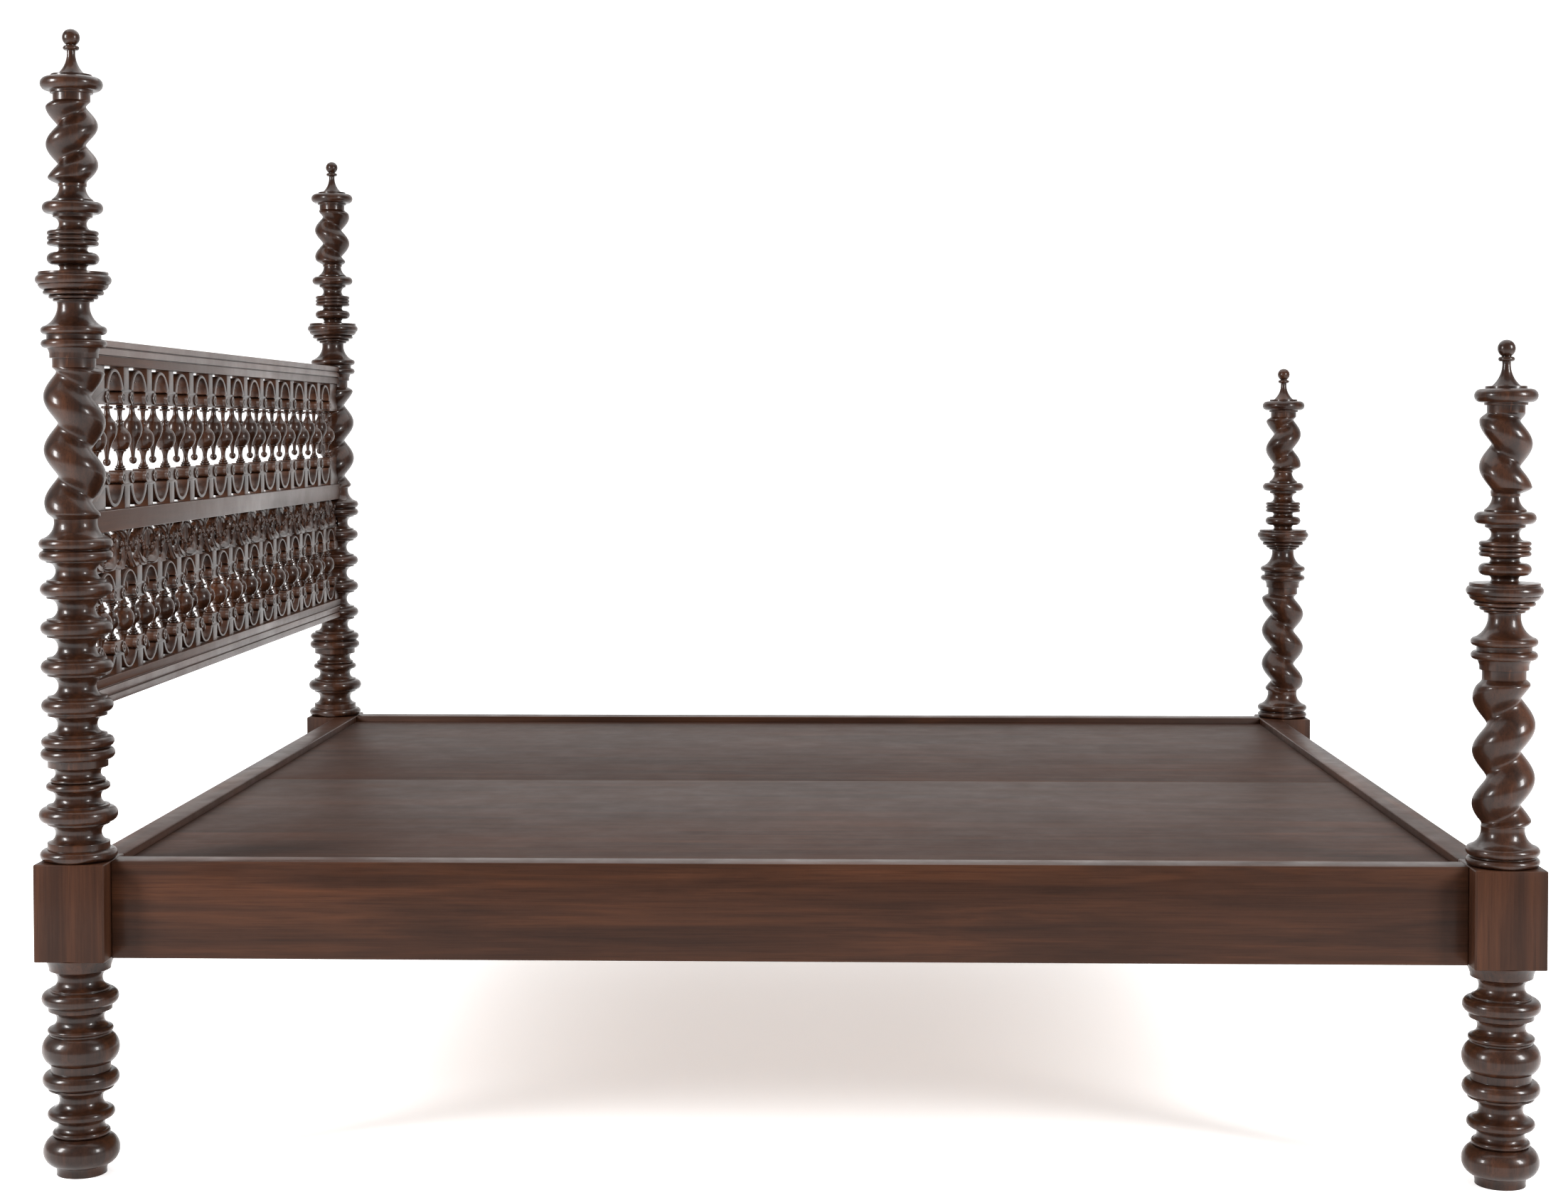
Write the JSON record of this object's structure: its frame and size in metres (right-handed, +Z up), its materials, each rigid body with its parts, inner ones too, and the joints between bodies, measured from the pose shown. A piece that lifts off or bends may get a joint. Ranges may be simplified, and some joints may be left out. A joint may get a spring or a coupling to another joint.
{
  "type": "four poster bed",
  "caption": "Dark wood four poster bed frame: tall barley-twist posts, a spindle-gallery headboard, deep plain rails and a recessed boarded deck for a mattress.",
  "frame": {"origin": "on the floor, at the middle of the bed's footprint", "axes": "+X from the headboard to the foot end, +Y to the left side of a sleeper lying face up with the head at the headboard, +Z up"},
  "size_m": [2.2349, 1.9756, 1.714],
  "materials": {
    "turned_wood": "satin lacquer over dark walnut stain",
    "rail_wood": "satin lacquer over dark walnut stain",
    "headboard_wood": "satin lacquer over dark walnut stain",
    "spindle_wood": "satin lacquer over dark walnut stain",
    "deck_board": "satin lacquer over dark walnut stain",
    "frame_wood": "unfinished hardwood, hidden",
    "fastener_steel": "zinc plated",
    "screw_steel": "zinc plated"
  },
  "bodies": {
    "root": {"carved_foliage_band": "headboard_wood", "centre_bearer": "frame_wood", "deck_panel_left": "deck_board", "deck_panel_right": "deck_board", "deck_slats": "frame_wood", "foot_left_bowl": "turned_wood", "foot_left_finial": "turned_wood", "foot_left_leg": "turned_wood", "foot_left_long_twist": "turned_wood", "foot_left_short_twist": "turned_wood", "foot_rail": "rail_wood", "foot_right_bowl": "turned_wood", "foot_right_finial": "turned_wood", "foot_right_leg": "turned_wood", "foot_right_long_twist": "turned_wood", "foot_right_short_twist": "turned_wood", "head_left_bowl": "turned_wood", "head_left_finial": "turned_wood", "head_left_leg": "turned_wood", "head_left_long_twist": "turned_wood", "head_left_short_twist": "turned_wood", "head_left_spool": "turned_wood", "head_rail": "rail_wood", "head_right_bowl": "turned_wood", "head_right_finial": "turned_wood", "head_right_leg": "turned_wood", "head_right_long_twist": "turned_wood", "head_right_short_twist": "turned_wood", "head_right_spool": "turned_wood", "headboard_bottom_rail": "headboard_wood", "headboard_middle_rail": "headboard_wood", "headboard_top_rail": "headboard_wood", "ledger_left": "frame_wood", "ledger_right": "frame_wood", "ledger_screws": "screw_steel", "lower_arcade_high": "headboard_wood", "lower_arcade_low": "headboard_wood", "lower_ball_spindles": "spindle_wood", "lower_knob_spindles": "spindle_wood", "post_plate_screws": "screw_steel", "post_slot_plates": "fastener_steel", "rail_hook_plates": "fastener_steel", "rail_plate_screws": "screw_steel", "side_rail_left": "rail_wood", "side_rail_right": "rail_wood", "upper_arcade_high": "headboard_wood", "upper_arcade_low": "headboard_wood", "upper_balusters": "spindle_wood", "upper_pendants": "spindle_wood"}
  },
  "joints": []
}
